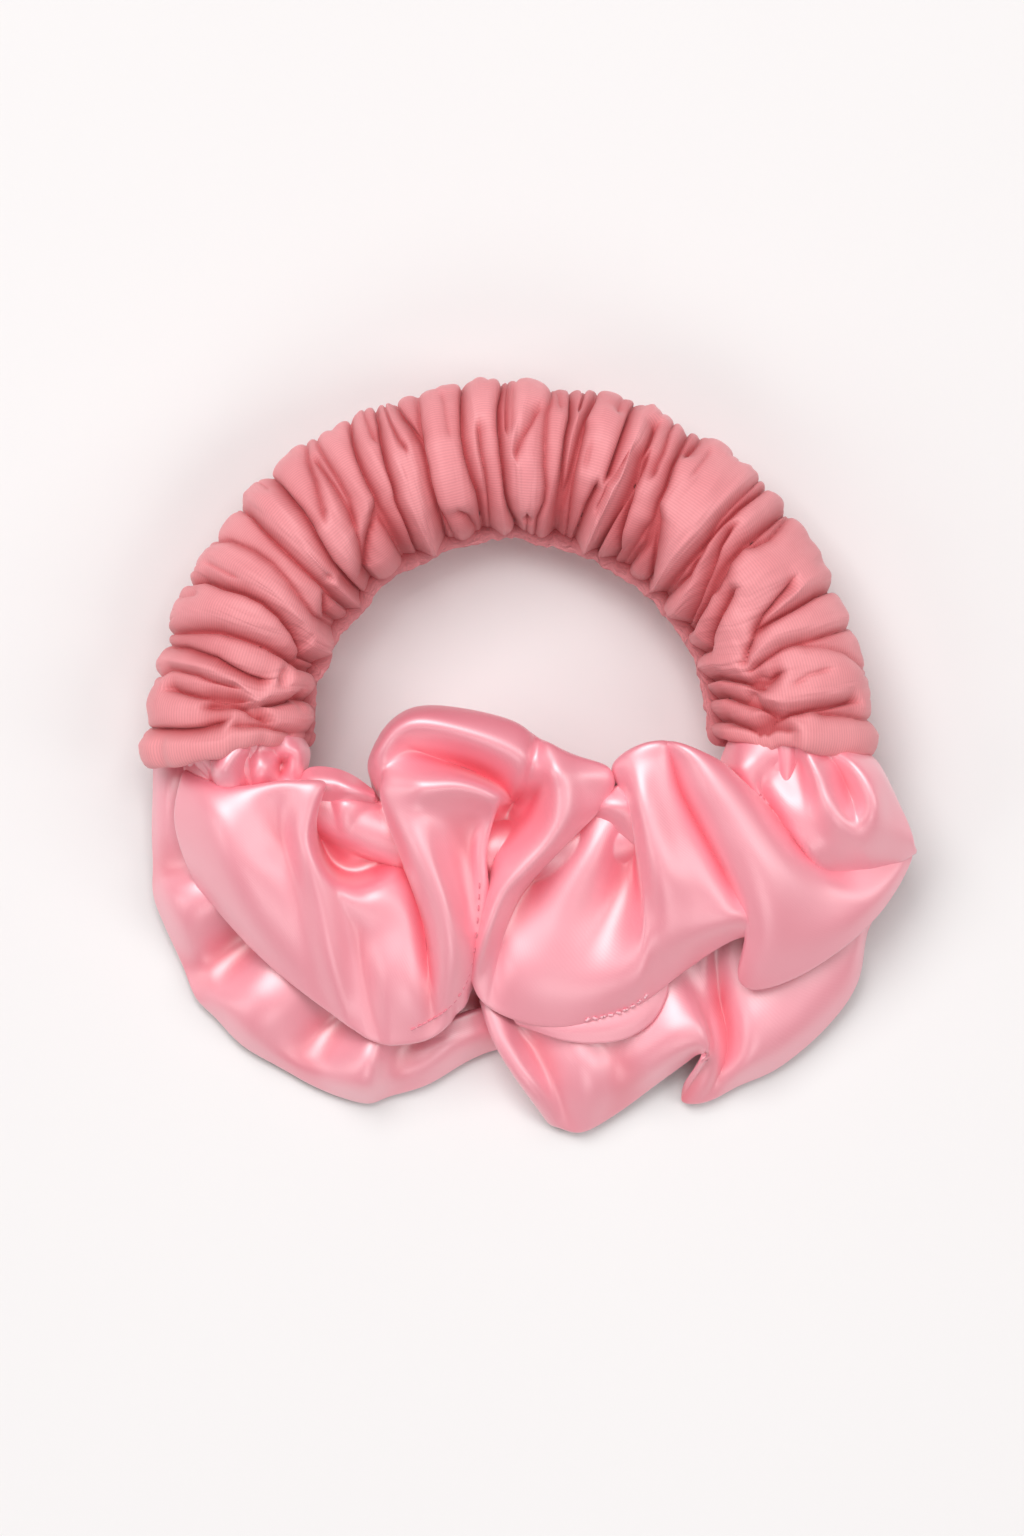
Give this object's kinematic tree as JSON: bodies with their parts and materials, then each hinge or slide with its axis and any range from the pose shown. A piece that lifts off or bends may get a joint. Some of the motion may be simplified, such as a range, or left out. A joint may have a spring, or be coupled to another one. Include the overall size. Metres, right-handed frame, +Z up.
{
  "type": "scrunchie",
  "caption": "Ring-shaped hair scrunchie: a ruched jersey arch over padding, closed by a double satin ruffle, on an elastic loop.",
  "frame": {"origin": "centre of the ring, on the surface it lies on", "axes": "+Z up out of the surface, +Y from the satin ruffle towards the top of the jersey arch, +X to the right"},
  "size_m": [0.1256, 0.1226, 0.0288],
  "materials": {
    "jersey": "matte dusty-rose cotton jersey knit, densely ruched",
    "satin": "glossy pink satin with a fine twill and a soft sheen",
    "wadding": "soft white polyester wadding",
    "elastic": "braided white elastic",
    "thread": "spun polyester sewing thread"
  },
  "bodies": {
    "arch": {"jersey_sleeve": "jersey", "sleeve_seam_thread": "thread", "padding_roll": "wadding", "elastic_arch": "elastic", "elastic_bar_tacks": "thread"},
    "joins": {"left_neck": "satin", "right_neck": "satin", "left_join_thread": "thread", "right_join_thread": "thread", "elastic_left": "elastic", "elastic_right": "elastic"},
    "ruffle": {"satin_casing": "satin", "elastic_lower": "elastic", "satin_back_ruffle": "satin", "back_gather_thread": "thread", "satin_front_ruffle": "satin", "front_gather_thread": "thread", "front_edge_stitches": "thread", "closing_hem": "satin", "closing_hem_stitches": "thread"}
  },
  "joints": [
    {"name": "loop_stretch", "type": "slide", "parent": "arch", "child": "joins", "axis": [0, -1, 0], "range_m": [0, 0.04], "stiffness_N_per_m": 80},
    {"name": "ring_fold", "type": "hinge", "parent": "joins", "child": "ruffle", "pos_m": [0, 0, 0.027], "axis": [-1, 0, 0], "range_deg": [0, 120]}
  ]
}
